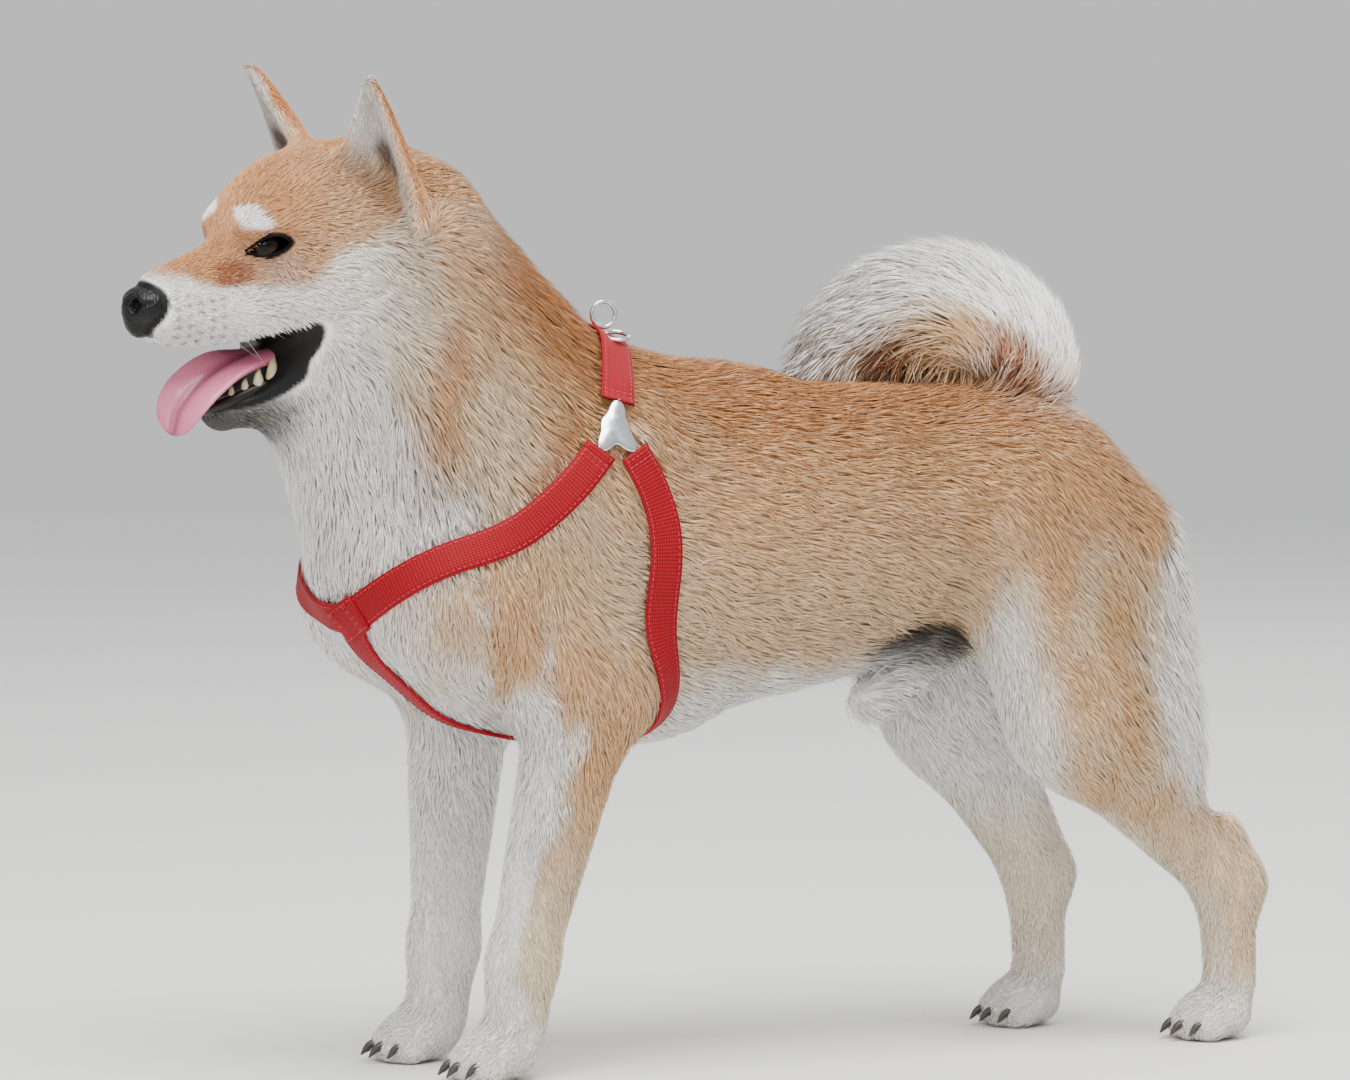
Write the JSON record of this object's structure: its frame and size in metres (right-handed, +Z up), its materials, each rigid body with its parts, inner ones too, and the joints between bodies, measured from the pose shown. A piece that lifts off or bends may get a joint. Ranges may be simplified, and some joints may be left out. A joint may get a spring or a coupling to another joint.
{
  "type": "shiba inu in a walking harness",
  "caption": "Life-size standing spitz-type dog with pricked ears, open mouth and a tail curled over the back, wearing a webbing harness.",
  "frame": {"origin": "centre of the bounding box at floor level, under the soles of the paws", "axes": "+X forward along the body towards the nose, +Y to the dog's left, +Z up"},
  "size_m": [0.6743, 0.1709, 0.5503],
  "materials": {
    "red_coat": "short dense double coat, red",
    "cream_coat": "dense double coat, cream white",
    "nose_leather": "moist black skin",
    "tongue": "moist pink skin",
    "eye": "wet dark brown",
    "webbing": "woven red webbing",
    "steel": "polished steel"
  },
  "bodies": {
    "root": {"torso": "red_coat", "neck": "red_coat", "head": "red_coat", "lower_jaw": "cream_coat", "tongue": "tongue", "nose": "nose_leather", "eye_left": "eye", "ear_left": "red_coat", "eye_right": "eye", "ear_right": "red_coat", "foreleg_left": "red_coat", "thigh_left": "red_coat", "shank_left": "red_coat", "forepaw_left": "red_coat", "hindpaw_left": "red_coat", "foreleg_right": "red_coat", "thigh_right": "red_coat", "shank_right": "red_coat", "forepaw_right": "red_coat", "hindpaw_right": "red_coat", "tail_root": "cream_coat", "tail_middle": "cream_coat", "tail_tip": "cream_coat", "back_strap": "webbing", "neck_strap_left": "webbing", "neck_strap_right": "webbing", "girth_strap_left": "webbing", "girth_strap_right": "webbing", "sternum_strap": "webbing", "plate_left": "steel", "plate_right": "steel", "breast_plate": "steel", "girth_plate": "steel", "lead_ring": "steel"}
  },
  "joints": []
}
